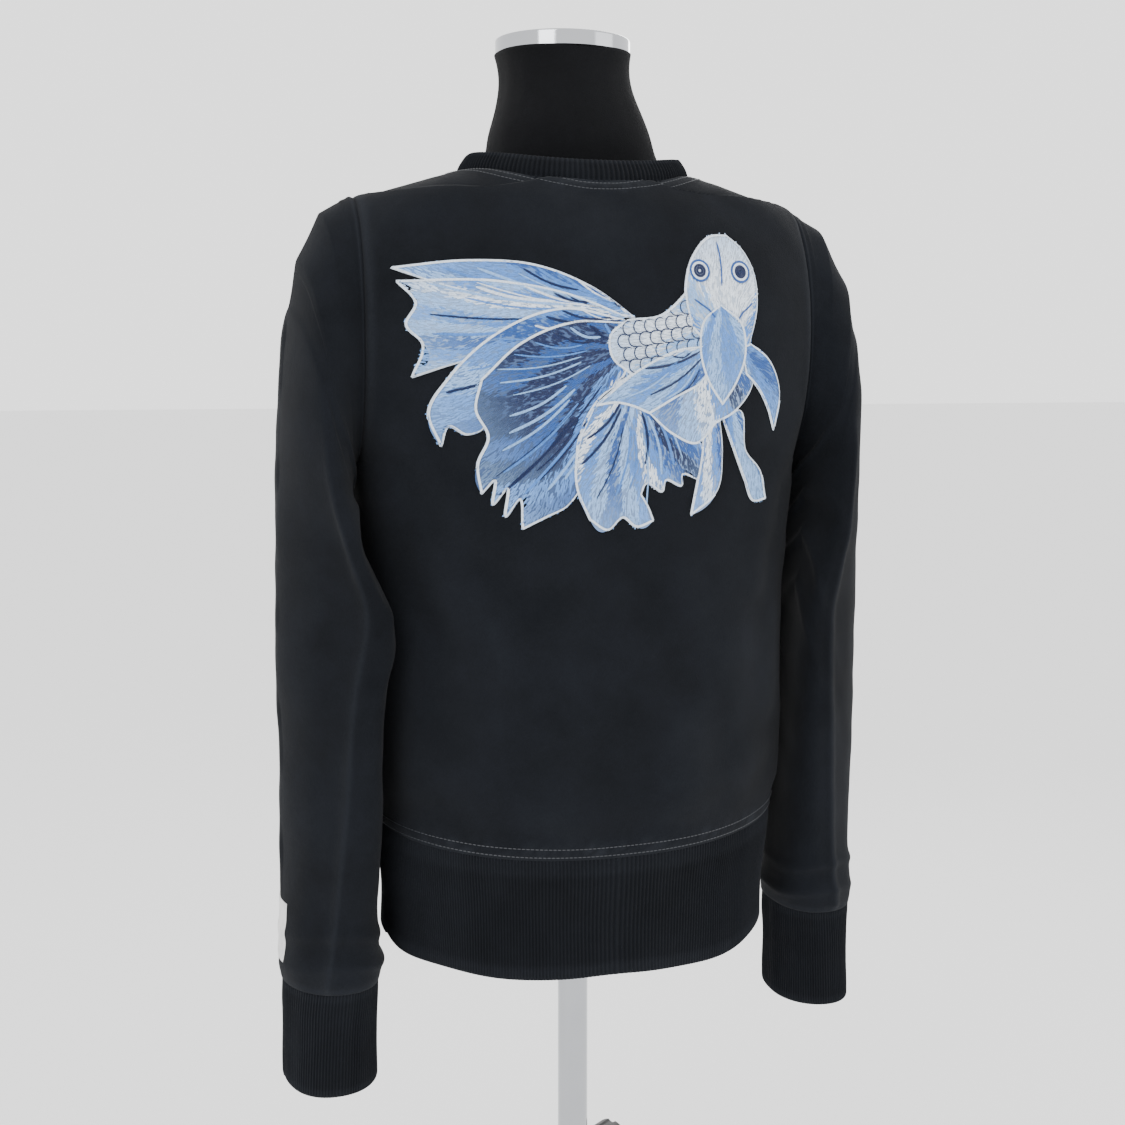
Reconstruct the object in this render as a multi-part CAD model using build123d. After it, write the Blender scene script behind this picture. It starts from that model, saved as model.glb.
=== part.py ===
"""A long-sleeved sweatshirt with an embroidered fancy-tailed goldfish across its back, dressed on a
jersey-covered torso form that turns and slides on a chrome floor stand.

Millimetres, +Z up. The origin is the centre of the stand's underside, on the floor. The wearer would
face +Y, so the embroidered back faces -Y and the wearer's left arm is on -X.
"""

from build123d import *
import math
import os

# ------------------------------------------------------------------ driving dimensions
HEM_Z = 620.0  # underside of the garment's hem above the floor
CLOTH = 3.0  # thickness of the fleece, seams included
RIB_CLOTH = 3.6  # thickness of the doubled rib knit
HEM_BAND = 88.0  # height of the ribbed hem
ARMHOLE_X = 182.0  # plane in which each sleeve is set into the body
CUFF_DROP = 90.0  # how far the cuffs hang below the hem
SHOULDER_H = 550.0  # height over the hem above which the cloth lies flat on the shoulders
COLLAR_BAND = 16.0  # height of the ribbed collar
LAYER_GAP = 0.05  # air between neighbouring layers of one body
TURN_GAP = 0.5  # air at the armhole, where a sleeve swings against the body

BASE_RADIUS = 160.0
LOWER_TUBE = (16.0, 14.2)  # outer and inner radius
UPPER_TUBE = (12.5, 11.0)
LOWER_TUBE_TOP = 430.0
UPPER_TUBE_FOOT = 165.0
UPPER_TUBE_TOP = 760.0
FORM_FOOT = 690.0  # underside of the torso form
FORM_WALL = 4.0
FORM_SKIN = 1.0
CAP_Z = 1336.0  # underside of the neck cap
CAP_HEIGHT = 11.5
CAP_RADIUS = (54.0, 51.5)  # half width and half depth of the oval neck cap
NECK_LEAN = 9.0  # how far the form's neck stands towards the wearer's left at its top

RING_POINTS = 16  # points of one horizontal ring
OVERRUN = 8.0  # how far a loft runs past the planes that cut it
SQUARENESS = 2.3  # exponent of the rings: 2 is an ellipse, more is boxier

# Rings of the garment's body: height over the hem, half width, depth to the back, depth to the front.
BODY_RINGS = [
    (HEM_BAND, 164, 118, 116),
    (150, 170, 122, 118),
    (230, 171, 121, 118),
    (310, 173, 119, 121),
    (375, 177, 118, 124),
    (420, 190, 119, 124),
    (465, 203, 118, 119),
    (506, 208, 114, 110),
    (542, 206, 106, 98),
    (572, 198, 95, 83),
    (595, 186, 83, 69),
    (608, 158, 74, 59),
    (617, 128, 66, 50),
    (624, 100, 57, 43),
    (631, 64, 36, 29),
]
# The hem's last ring lies above its seam, so its wall meets the panels at their own slope.
HEM_RINGS = [
    (0, 159, 114, 113),
    (45, 160, 114, 113),
    (HEM_BAND, 164, 118, 116),
    (HEM_BAND + 12, 165.5, 119, 116.5),
]

# Rings of the neck hole, which leans forward and narrows upwards.
NECK_RINGS = [(530, 112, 92, 94), (560, 106, 84, 88), (608, 99, 72, 76), (650, 81, 58, 62)]
# Line of the collar's seam seen from the side: distance to the front and height over the hem.
COLLAR_SEAM = [(-76, 608), (-35, 617), (0, 619), (40, 608), (94, 556)]

# Rings of the torso form, over the floor.
FORM_RINGS = [
    (FORM_FOOT, 138, 90, 90),
    (760, 130, 86, 86),
    (840, 128, 86, 88),
    (930, 142, 95, 100),
    (1020, 160, 106, 112),
    (1085, 171, 106, 107),
    (1135, 174, 98, 92),
    (1172, 168, 84, 74),
    (1200, 150, 69, 60),
    (1220, 116, 57, 51),
    (1238, 86, 51, 49),
    (1253, 71, 49, 49),
    (1270, 66, 51, 50),
    (1295, 57, 50, 50),
    (CAP_Z, 54, 50, 50),
]

# Sections of one sleeve: the point at its inner crease, the point at its outer crease (both as
# distance from the middle plane and height over the hem), half its depth, its set-back, and how
# far its back edge is tucked in behind the body.
SLEEVE_SECTIONS = [
    ((ARMHOLE_X, 392), (ARMHOLE_X, 600), 61, -2, 0),
    ((186, 382), (206, 586), 66, -4, 0),
    ((187, 366), (224, 550), 70, -6, 0),
    ((186, 342), (236, 470), 73, -9, 3),
    ((184, 312), (242, 372), 74, -12, 16),
    ((181, 262), (244, 282), 72, -15, 26),
    ((178, 150), (243, 154), 66, -16, 22),
    ((176, 60), (241, 61), 56, -15, 12),
    ((175, -9), (240, -9), 48, -14, 4),
]
CUFF_SECTIONS = [
    ((175, -9), (240, -9), 48, -14, 4),
    ((178, -45), (238, -45), 45, -13, 2),
    ((176, -CUFF_DROP), (240, -CUFF_DROP), 46, -13, 0),
]


# ------------------------------------------------------------------ shared helpers
def oval_points(count=RING_POINTS, power=SQUARENESS, start=math.pi / 2):
    """Unit superellipse, counter-clockwise. It starts at the front, where nothing cuts its seam."""
    for step in range(count):
        turn = start + 2 * math.pi * step / count
        across, along = math.cos(turn), math.sin(turn)
        yield (
            math.copysign(abs(across) ** (2 / power), across),
            math.copysign(abs(along) ** (2 / power), along),
        )


def closed_curve(points):
    return Wire([Edge.make_spline([Vector(*p) for p in points], periodic=True)])


def ring(z, half_width, back, front, grow=0.0, lean=0.0, power=SQUARENESS):
    """One horizontal ring of a body."""
    points = []
    for across, along in oval_points(power=power):
        reach = front if along > 0 else back
        points.append((across * (half_width + grow) + lean, along * (reach + grow), z))
    return closed_curve(points)


def garment_solid(rings, grow=0.0, sink=0.0):
    """Solid inside the garment's rings, carried on below the lowest. Grow moves its walls out, and
    sink lowers its shoulders."""
    lowest = rings[0]
    wires = [ring(HEM_Z + lowest[0] - OVERRUN, *lowest[1:], grow)]
    for height, half_width, back, front in rings:
        drop = sink if height > SHOULDER_H else 0.0
        wires.append(ring(HEM_Z + height - drop, half_width, back, front, grow))
    return Solid.make_loft(wires)


def neck_lean(z):
    """Sideways set of the form's neck, which starts above the shoulders."""
    root = HEM_Z + 600
    return -NECK_LEAN * max(0.0, (z - root) / (CAP_Z - root)) ** 1.2


def form_solid(grow=0.0):
    """Solid inside the torso form's rings, carried on past both ends."""
    first, last = FORM_RINGS[0], FORM_RINGS[-1]
    rings = [ring(first[0] - OVERRUN, *first[1:], grow)]
    rings += [ring(z, w, b, f, grow, neck_lean(z)) for z, w, b, f in FORM_RINGS]
    rings.append(ring(last[0] + OVERRUN, *last[1:], grow, neck_lean(last[0])))
    return Solid.make_loft(rings)


def form_layer(outer_grow, inner_grow, top=CAP_Z):
    """Hollow layer of the form between its foot and a top."""
    slab = block(-250, 250, -200, 200, FORM_FOOT, top)
    return (form_solid(outer_grow) & slab) - form_solid(inner_grow)


def sleeve_ring(section, side, grow=0.0):
    """One ring round a sleeve, in the plane through its two creases and the Y direction."""
    (inner_x, inner_h), (outer_x, outer_h), half_depth, set_back, tuck = section
    middle = Vector((inner_x + outer_x) / 2, set_back, HEM_Z + (inner_h + outer_h) / 2)
    reach = Vector(outer_x - inner_x, 0, outer_h - inner_h)
    half_thick = reach.length / 2 + grow
    reach = reach.normalized()
    points = []
    for across, along in oval_points(power=2.15, start=0):
        at = middle + reach * (half_thick * across - tuck * max(0, -along) ** 1.5)
        points.append((side * at.X, at.Y + along * (half_depth + grow), at.Z))
    return closed_curve(points)


def sleeve_wall(sections, side, outer_grow, inner_grow):
    """Wall round a sleeve, built stretch by stretch between neighbouring sections."""
    wall = None
    for upper, lower in zip(sections, sections[1:]):
        outer = Solid.make_loft([sleeve_ring(s, side, outer_grow) for s in (upper, lower)])
        inner = Solid.make_loft([sleeve_ring(s, side, inner_grow) for s in (upper, lower)])
        stretch = outer - inner
        wall = stretch if wall is None else wall + stretch
    return wall


def block(x_low, x_high, y_low, y_high, z_low, z_high):
    size = (x_high - x_low, y_high - y_low, z_high - z_low)
    return Pos(x_low, y_low, z_low) * Box(*size, align=(Align.MIN, Align.MIN, Align.MIN))


def tube(outer, inner, z_low, z_high):
    solid = Pos(0, 0, z_low) * Cylinder(outer, z_high - z_low, align=(Align.CENTER, Align.CENTER, Align.MIN))
    hole = Pos(0, 0, z_low - 1) * Cylinder(inner, z_high - z_low + 2, align=(Align.CENTER, Align.CENTER, Align.MIN))
    return solid - hole


def rod(radius, z_low, z_high):
    return Pos(0, 0, z_low) * Cylinder(radius, z_high - z_low, align=(Align.CENTER, Align.CENTER, Align.MIN))


def around(shape, count, radius, start=0.0):
    """Copies of a shape on a circle about the Z axis, as one group."""
    step = 360 / count
    copies = [Rot(0, 0, start + step * k) * (Pos(radius, 0, 0) * shape) for k in range(count)]
    return Compound(children=copies)


def neck_cone(grow):
    """Solid that fills the neck hole."""
    return Solid.make_loft([ring(HEM_Z + h, w, b, f, grow, power=2.0) for h, w, b, f in NECK_RINGS])


# ------------------------------------------------------------------ stand
def make_base(parts):
    rim, crown = 12.0, 26.0
    sheet = 1.4
    weight_radius = BASE_RADIUS - 8
    profile = Polyline((17, crown), (40, crown - 3), (90, 17.5), (140, 14), (BASE_RADIUS - 4, rim))
    dome = profile.edges() + [
        Edge.make_line((BASE_RADIUS - 4, rim), (BASE_RADIUS, rim - 4)),
        Edge.make_line((BASE_RADIUS, rim - 4), (BASE_RADIUS, 2)),
        Edge.make_line((BASE_RADIUS, 2), (BASE_RADIUS - sheet, 2)),
        Edge.make_line((BASE_RADIUS - sheet, 2), (BASE_RADIUS - sheet, rim - 4.6)),
        Edge.make_line((BASE_RADIUS - sheet, rim - 4.6), (BASE_RADIUS - 4.6, rim - sheet)),
        Edge.make_line((BASE_RADIUS - 4.6, rim - sheet), (140, 14 - sheet)),
        Edge.make_line((140, 14 - sheet), (90, 17.5 - sheet)),
        Edge.make_line((90, 17.5 - sheet), (40, crown - 3 - sheet)),
        Edge.make_line((40, crown - 3 - sheet), (17, crown - sheet)),
        Edge.make_line((17, crown - sheet), (17, crown)),
    ]
    section = Plane.XZ * Face(Wire(dome))
    parts["base_cover"] = revolve(section, Axis.Z)
    weight = rod(weight_radius, 3, 10) - rod(5.3, 2, 11)
    weight -= rod(9.5, 2, 6)
    parts["base_weight"] = weight
    parts["base_pad"] = rod(weight_radius, 0, 2.95)
    head = rod(8.5, 3.4, 5.95) - Pos(0, 0, 3) * extrude(RegularPolygon(4, 6), 2)
    parts["base_bolt"] = head + rod(5.0, 5.95, 34)
    parts["tube_plug"] = rod(LOWER_TUBE[1] - LAYER_GAP, 10.05, 40) - rod(5.15, 9, 36)
    parts["foot_ring"] = revolve(
        Plane.XZ * make_face(Polyline((16.1, 26.1), (27, 26.1), (27, 29), (21, 36), (16.1, 38), close=True)),
        Axis.Z,
    )


def make_stand_tubes(parts):
    parts["lower_tube"] = tube(*LOWER_TUBE, 10.05, LOWER_TUBE_TOP)
    bush_skirt = tube(LOWER_TUBE[1] - LAYER_GAP, UPPER_TUBE[0] + 0.05, LOWER_TUBE_TOP - 55, LOWER_TUBE_TOP)
    bush_lip = tube(LOWER_TUBE[0], UPPER_TUBE[0] + 0.05, LOWER_TUBE_TOP + 0.05, LOWER_TUBE_TOP + 3)
    bush = bush_skirt + tube(LOWER_TUBE[1] - LAYER_GAP, UPPER_TUBE[0] + 0.05, LOWER_TUBE_TOP - 1, LOWER_TUBE_TOP + 1)
    parts["guide_bush"] = bush + bush_lip - across_hole(4.3)
    collar = tube(24, LOWER_TUBE[0] + LAYER_GAP, LOWER_TUBE_TOP - 36, LOWER_TUBE_TOP + 3)
    collar += Rot(0, 0, CLAMP_TURN) * Pos(30, 0, CLAMP_Z) * Rot(0, 90, 0) * Cylinder(9, 16)
    collar -= rod(LOWER_TUBE[0] + LAYER_GAP, 300, 500)
    parts["clamp_collar"] = collar - across_hole(4.3)
    parts["lower_tube"] -= across_hole(4.3)
    parts["upper_tube"] = tube(*UPPER_TUBE, UPPER_TUBE_FOOT, UPPER_TUBE_TOP)
    parts["tube_end_cap"] = rod(UPPER_TUBE[1] - LAYER_GAP, UPPER_TUBE_TOP - 12, UPPER_TUBE_TOP + 0.2)
    parts["clamp_screw"] = radial_screw(UPPER_TUBE[0] + 0.15, 42, CLAMP_Z, CLAMP_TURN, 4.0)
    parts["clamp_knob"] = star_knob(42.05, CLAMP_Z, CLAMP_TURN, 17, 16)


CLAMP_Z = LOWER_TUBE_TOP - 18
CLAMP_TURN = 35.0  # degrees from +X, so the knob stands to the front and to the wearer's right
LOCK_Z = 655.0
LOCK_TURN = 90.0


def across_hole(radius):
    """Radial hole for the clamp screw, from the axis outwards."""
    hole = Cylinder(radius, 60, align=(Align.CENTER, Align.CENTER, Align.MIN))
    return Rot(0, 0, CLAMP_TURN) * Pos(0, 0, CLAMP_Z) * Rot(0, 90, 0) * hole


def radial_screw(start, end, z, turn, radius):
    screw = Cylinder(radius, end - start, align=(Align.CENTER, Align.CENTER, Align.MIN))
    return Rot(0, 0, turn) * Pos(start, 0, z) * Rot(0, 90, 0) * screw


def star_knob(start, z, turn, radius, length):
    """Knob with six finger grooves, its axis pointing out from the tube."""
    outline = Circle(radius)
    for k in range(6):
        outline -= Rot(0, 0, 60 * k) * (Pos(radius + 2.5, 0) * Circle(4.6))
    knob = extrude(outline, length)
    knob = fillet(knob.faces().sort_by(Axis.Z)[-1].edges(), 1.5)
    return Rot(0, 0, turn) * Pos(start, 0, z) * Rot(0, 90, 0) * knob


# ------------------------------------------------------------------ torso form
def make_form(parts):
    socket = tube(17, UPPER_TUBE[0] + 0.06, 640, UPPER_TUBE_TOP + 1)
    socket += tube(40, 16.5, FORM_FOOT - 4, FORM_FOOT - 0.05)
    socket += rod(17, UPPER_TUBE_TOP + 0.9, UPPER_TUBE_TOP + 5)
    lock_hole = Pos(0, 0, LOCK_Z) * Rot(-90, 0, 0) * Cylinder(3.3, 30, align=(Align.CENTER, Align.CENTER, Align.MIN))
    screw_holes = around(rod(2.3, FORM_FOOT - 6, FORM_FOOT + 1), 4, 30, 45)
    parts["form_socket"] = socket - lock_hole - screw_holes
    parts["lock_screw"] = radial_screw(UPPER_TUBE[0] + 0.2, 30, LOCK_Z, LOCK_TURN, 3.0)
    parts["lock_wing"] = wing(30.05, LOCK_Z)

    inside = form_solid(-FORM_SKIN - FORM_WALL)
    board_slab = block(-200, 200, -200, 200, FORM_FOOT, FORM_FOOT + 14)
    board = (inside & board_slab) - rod(17.1, FORM_FOOT - 5, FORM_FOOT + 30)
    parts["bottom_board"] = board - around(rod(1.7, FORM_FOOT - 1, FORM_FOOT + 11), 4, 30, 45)
    one_screw = rod(1.6, FORM_FOOT - 5, FORM_FOOT + 10) + rod(3.6, FORM_FOOT - 6.5, FORM_FOOT - 4.05)
    parts["socket_screws"] = around(one_screw, 4, 30, 45)

    parts["form_shell"] = form_layer(-FORM_SKIN, -FORM_SKIN - FORM_WALL + LAYER_GAP, CAP_Z - 1)
    parts["form_jersey"] = form_layer(0, -FORM_SKIN + LAYER_GAP)
    neck_slab = block(-120, 60, -100, 100, CAP_Z - 32, CAP_Z - 1)
    plug = inside & neck_slab
    pin_x = neck_lean(CAP_Z)
    parts["neck_plug"] = plug - Pos(pin_x, 0, 0) * rod(3.1, CAP_Z - 22, CAP_Z + 2)
    cap_face = Face(Wire([Edge.make_ellipse(*CAP_RADIUS)]))
    cap = Pos(pin_x, 0, CAP_Z) * Solid.extrude(cap_face, Vector(0, 0, CAP_HEIGHT))
    cap = fillet(cap.edges().group_by(Axis.Z)[-1], 1.6)
    recess = Face(Wire([Edge.make_ellipse(CAP_RADIUS[0] - 2, CAP_RADIUS[1] - 2)]))
    cap -= Pos(pin_x, 0, CAP_Z - 1) * Solid.extrude(recess, Vector(0, 0, CAP_HEIGHT - 1))
    parts["neck_cap"] = cap
    boss = rod(8, CAP_Z - 0.9, CAP_Z + CAP_HEIGHT - 2.05) + rod(3.0, CAP_Z - 21, CAP_Z)
    parts["neck_cap_pin"] = Pos(pin_x, 0, 0) * boss


def wing(start, z):
    """Flat thumb wing on the lock screw, pointing to the front."""
    plate = extrude(Ellipse(13, 6.5), 5)
    hub = Cylinder(5, 6, align=(Align.CENTER, Align.CENTER, Align.MIN))
    return Pos(0, start, z) * Rot(-90, 0, 0) * (plate + hub)


# ------------------------------------------------------------------ sweatshirt body
def make_garment_body(parts):
    outer = garment_solid(BODY_RINGS)
    inner = garment_solid(BODY_RINGS, -CLOTH, CLOTH)
    neck = neck_cone(0)
    for name, y_low, y_high in (("back_panel", -200, 0), ("front_panel", 0, 200)):
        half = block(-ARMHOLE_X, ARMHOLE_X, y_low, y_high, HEM_Z + HEM_BAND, HEM_Z + 700)
        parts[name] = (outer & half) - inner - neck
    hem_slab = block(-300, 300, -200, 200, HEM_Z, HEM_Z + HEM_BAND - LAYER_GAP)
    parts["hem_rib"] = (garment_solid(HEM_RINGS) & hem_slab) - garment_solid(HEM_RINGS, -RIB_CLOTH)


def make_collar(parts):
    """Ribbed collar standing in the neck hole, and the tape and blank label inside its back."""
    wall = neck_cone(-LAYER_GAP) - neck_cone(-RIB_CLOTH)
    lower = Edge.make_spline([Vector(-150, y, HEM_Z + h) for y, h in COLLAR_SEAM])
    upper = Edge.make_spline([Vector(-150, y, HEM_Z + h + COLLAR_BAND) for y, h in COLLAR_SEAM])
    back_end = Edge.make_line(lower.position_at(0), upper.position_at(0))
    front_end = Edge.make_line(lower.position_at(1), upper.position_at(1))
    band = Solid.extrude(Face(Wire([lower, front_end, upper, back_end])), Vector(300, 0, 0))
    parts["collar_rib"] = wall & band
    tape = neck_cone(-RIB_CLOTH - LAYER_GAP) - neck_cone(-RIB_CLOTH - 1.2)
    parts["neck_tape"] = tape & block(-62, 62, -100, -20, HEM_Z + 615, HEM_Z + 623)
    label = neck_cone(-RIB_CLOTH - 1.25) - neck_cone(-RIB_CLOTH - 2.0)
    parts["neck_label"] = label & block(-21, 21, -100, -20, HEM_Z + 599, HEM_Z + 621)


def make_sleeve(parts, name, side):
    """One sleeve with its ribbed cuff. Side is -1 for the wearer's left and 1 for the right."""
    clear = ARMHOLE_X + TURN_GAP
    low, high = (0, clear) if side > 0 else (-clear, 0)
    body_side = block(low, high, -200, 200, HEM_Z + 378, HEM_Z + 700)
    parts[f"{name}_sleeve"] = sleeve_wall(SLEEVE_SECTIONS, side, 0, -CLOTH) - body_side
    parts[f"{name}_cuff"] = sleeve_wall(CUFF_SECTIONS, side, 0, -RIB_CLOTH)


def make_sleeve_label(parts):
    """Blank woven patch on the outside of the left sleeve, over the cuff."""
    patch = sleeve_wall(SLEEVE_SECTIONS[-2:], -1, 0.9, LAYER_GAP)
    parts["sleeve_label"] = patch & block(-260, -215, -14, 26, HEM_Z + 8, HEM_Z + 54)


# ------------------------------------------------------------------ embroidery
# Each motif is a closed outline on the back, as strokes between its corners. Points are distances
# to the wearer's right of the middle plane and heights over the hem.
MOTIFS = {
    "fish_eye": [[(104, 567), (109, 562), (104, 557), (99, 562), (104, 567)]],
    "fish_breast_fin": [
        [(84, 536), (102, 522), (105, 500), (96, 477), (84, 461)],
        [(84, 461), (71, 480), (65, 503), (69, 524), (84, 536)],
    ],
    "fish_head": [
        [(58, 520), (55, 548), (64, 573), (82, 589), (96, 590)],
        [(96, 590), (108, 580), (117, 562), (118, 538), (109, 506)],
        [(109, 506), (84, 498), (58, 520)],
    ],
    "fish_left_fin": [
        [(76, 505), (48, 502), (16, 488), (-20, 461)],
        [(-20, 461), (-4, 463), (10, 460), (22, 455)],
        [(22, 455), (44, 467), (66, 479), (76, 505)],
    ],
    "fish_right_fin": [
        [(108, 508), (128, 495), (140, 472), (136, 440)],
        [(136, 440), (128, 458), (117, 474), (106, 484)],
        [(106, 484), (104, 497), (108, 508)],
    ],
    "fish_belly": [
        [(40, 482), (74, 506), (112, 500)],
        [(112, 500), (112, 476), (96, 456), (78, 447)],
        [(78, 447), (62, 432), (40, 440), (22, 455)],
        [(22, 455), (30, 468), (40, 482)],
    ],
    "fish_flank": [
        [(6, 524), (34, 528), (50, 540), (66, 560)],
        [(66, 560), (80, 530), (76, 500)],
        [(76, 500), (40, 494), (8, 484)],
        [(8, 484), (-7, 497), (-8, 512), (6, 524)],
    ],
    "fish_pelvic_fin": [
        [(68, 448), (82, 450)],
        [(82, 450), (85, 424), (82, 396), (58, 377)],
        [(58, 377), (63, 400), (67, 424), (68, 448)],
    ],
    "fish_trailing_fin": [
        [(84, 452), (100, 456), (108, 424), (124, 408), (131, 386)],
        [(131, 386), (118, 385), (108, 402), (96, 426), (84, 452)],
    ],
    "fish_tail_curl": [
        [(-20, 463), (6, 464), (22, 455)],
        [(22, 455), (44, 444), (66, 430), (64, 404)],
        [(64, 404), (50, 408), (50, 400), (36, 404), (34, 396), (20, 402), (16, 394)],
        [(16, 394), (22, 384), (26, 374)],
        [(26, 374), (12, 370), (2, 377), (-10, 368), (-24, 376)],
        [(-24, 376), (-34, 400), (-33, 432), (-20, 463)],
    ],
    "fish_tail_heart": [
        [(2, 522), (-36, 522), (-76, 506), (-104, 480)],
        [(-104, 480), (-108, 458), (-99, 438), (-106, 418), (-103, 396)],
        [(-103, 396), (-94, 406), (-95, 388), (-85, 400), (-86, 379), (-76, 392), (-74, 370)],
        [(-74, 370), (-56, 379), (-42, 386), (-32, 398)],
        [(-32, 398), (-34, 432), (-20, 463), (8, 484)],
        [(8, 484), (-6, 496), (-8, 510), (2, 522)],
    ],
    "fish_tail_sickle": [
        [(4, 524), (-44, 532), (-92, 514), (-126, 482), (-140, 456), (-131, 431)],
        [(-131, 431), (-126, 446), (-114, 440), (-103, 444), (-106, 460), (-104, 480)],
        [(-104, 480), (-70, 492), (-34, 506), (4, 524)],
    ],
    "fish_tail_veil": [
        [(6, 526), (-40, 543), (-92, 552), (-160, 552)],
        [(-160, 552), (-148, 536), (-155, 520), (-144, 506), (-151, 482)],
        [(-151, 482), (-128, 490), (-100, 498)],
        [(-100, 498), (-42, 516), (6, 526)],
    ],
    "fish_tail_crest": [
        [(12, 526), (-20, 548), (-62, 564), (-108, 567), (-163, 562)],
        [(-163, 562), (-138, 552), (-112, 541)],
        [(-112, 541), (-62, 540), (-22, 532), (12, 526)],
    ],
}
THREAD_BUILD = 1.3  # thickness of the embroidery over the cloth
FISH_DROP = -20.0  # how far the whole fish is set down from the outlines' own heights
SMALLEST_TILE = 5.0  # mm2; a smaller scrap between two motifs is left out


def motif_face(strokes):
    """Flat face of one outline, standing upright behind the back."""
    edges = []
    for stroke in strokes:
        points = [Vector(x, -200, HEM_Z + FISH_DROP + h) for x, h in stroke]
        if len(points) == 2:
            edges.append(Edge.make_line(*points))
        else:
            closed = stroke[0] == stroke[-1]
            edges.append(Edge.make_spline(points[:-1] if closed else points, periodic=closed))
    return Face(Wire(edges))


def make_embroidery(parts):
    """The motifs lie on the back like tiles: each gives way to those listed before it."""
    outer = garment_solid(BODY_RINGS, THREAD_BUILD)
    slab = block(-178, 178, -200, -20, HEM_Z + 340, HEM_Z + 590)
    layer = (outer & slab) - garment_solid(BODY_RINGS, LAYER_GAP)
    taken = None
    for name, strokes in MOTIFS.items():
        face = motif_face(strokes)
        shown = face if taken is None else face - taken
        taken = face if taken is None else taken + face
        pieces = []
        for tile in [face for face in shown.faces() if face.area > SMALLEST_TILE]:
            pieces += (Solid.extrude(tile, Vector(0, 190, 0)) & layer).solids()
        parts[name] = Compound(children=[p for p in pieces if p.volume > 4])


# ------------------------------------------------------------------ assembly
def main():
    parts = {}
    make_base(parts)
    make_stand_tubes(parts)
    make_form(parts)
    make_garment_body(parts)
    make_collar(parts)
    for name, side in (("left", -1), ("right", 1)):
        make_sleeve(parts, name, side)
    make_sleeve_label(parts)
    make_embroidery(parts)
    os.makedirs("parts", exist_ok=True)
    for name, shape in parts.items():
        export_step(shape, f"parts/{name}.step")


main()
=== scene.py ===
"""Looks of the embroidered sweatshirt on its torso form: cloth, ribs, seams, stitches and chrome."""

import math

import bpy
import numpy as np
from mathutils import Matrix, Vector
from mathutils.bvhtree import BVHTree


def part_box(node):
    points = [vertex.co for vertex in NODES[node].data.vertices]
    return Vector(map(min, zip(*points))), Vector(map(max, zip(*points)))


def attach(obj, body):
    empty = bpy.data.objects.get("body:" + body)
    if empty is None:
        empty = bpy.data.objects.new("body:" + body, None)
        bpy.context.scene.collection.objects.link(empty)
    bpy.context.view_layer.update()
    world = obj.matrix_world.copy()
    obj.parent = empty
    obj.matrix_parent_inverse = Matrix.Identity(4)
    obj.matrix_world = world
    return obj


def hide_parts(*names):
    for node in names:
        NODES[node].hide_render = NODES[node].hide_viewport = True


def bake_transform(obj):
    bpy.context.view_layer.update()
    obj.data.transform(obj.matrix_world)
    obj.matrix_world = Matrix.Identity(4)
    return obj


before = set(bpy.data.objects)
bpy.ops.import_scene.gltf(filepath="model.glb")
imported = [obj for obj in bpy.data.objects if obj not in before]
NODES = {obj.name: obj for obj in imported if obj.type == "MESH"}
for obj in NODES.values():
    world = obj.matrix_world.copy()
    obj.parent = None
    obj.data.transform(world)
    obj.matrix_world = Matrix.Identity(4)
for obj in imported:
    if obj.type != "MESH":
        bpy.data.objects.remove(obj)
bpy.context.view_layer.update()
RNG = np.random.default_rng(7)

# ---- dimensions, in metres
MM = 0.001
HEM_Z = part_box("hem_rib")[0].z
ARMHOLE_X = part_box("back_panel")[1].x
CLOTH = 3 * MM
RIB_CLOTH = 3.6 * MM
COLLAR_BAND = 16 * MM

# Rings of the sweatshirt's body: height over the hem, half width, depth to the back and to the front.
BODY_RINGS = [
    (0, 159, 114, 113),
    (45, 160, 114, 113),
    (88, 164, 118, 116),
    (150, 170, 122, 118),
    (230, 171, 121, 118),
    (310, 173, 119, 121),
    (375, 177, 118, 124),
    (420, 190, 119, 124),
    (465, 203, 118, 119),
    (506, 208, 114, 110),
    (542, 206, 106, 98),
    (572, 198, 95, 83),
    (595, 186, 83, 69),
    (608, 158, 74, 59),
]
NECK_RINGS = [(530, 112, 92, 94), (560, 106, 84, 88), (608, 99, 72, 76), (650, 81, 58, 62)]
COLLAR_SEAM = [(-76, 608), (-35, 617), (0, 619), (40, 608), (94, 556)]
FORM_RINGS = [
    (690, 138, 90, 90),
    (760, 130, 86, 86),
    (840, 128, 86, 88),
    (930, 142, 95, 100),
    (1020, 160, 106, 112),
    (1085, 171, 106, 107),
    (1135, 174, 98, 92),
    (1172, 168, 84, 74),
    (1200, 150, 69, 60),
    (1220, 116, 57, 51),
    (1238, 86, 51, 49),
    (1253, 71, 49, 49),
    (1270, 66, 51, 50),
    (1295, 57, 50, 50),
    (1336, 54, 50, 50),
]
# Sections of a sleeve: inner crease, outer crease, half depth, set-back, tuck behind the body.
SLEEVE_SECTIONS = [
    ((182, 392), (182, 600), 61, -2, 0),
    ((186, 382), (206, 586), 66, -4, 0),
    ((187, 366), (224, 550), 70, -6, 0),
    ((186, 342), (236, 470), 73, -9, 3),
    ((184, 312), (242, 372), 74, -12, 16),
    ((181, 262), (244, 282), 72, -15, 26),
    ((178, 150), (243, 154), 66, -16, 22),
    ((176, 60), (241, 61), 56, -15, 12),
    ((175, -9), (240, -9), 48, -14, 4),
    ((178, -45), (238, -45), 45, -13, 2),
    ((176, -90), (240, -90), 46, -13, 0),
]
CUFF_FROM = 8  # the section at which a cuff starts

# ---- camera, in degrees, metres and mm of lens
CAMERA_AZIMUTH = -17.5
CAMERA_AWAY = 1.30
CAMERA_HEIGHT = 1.09
CAMERA_LENS = 50.88
CAMERA_SHIFT = 0.04
CAMERA_PITCH = 5.443  # downwards
CAMERA_YAW = 0.378

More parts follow.
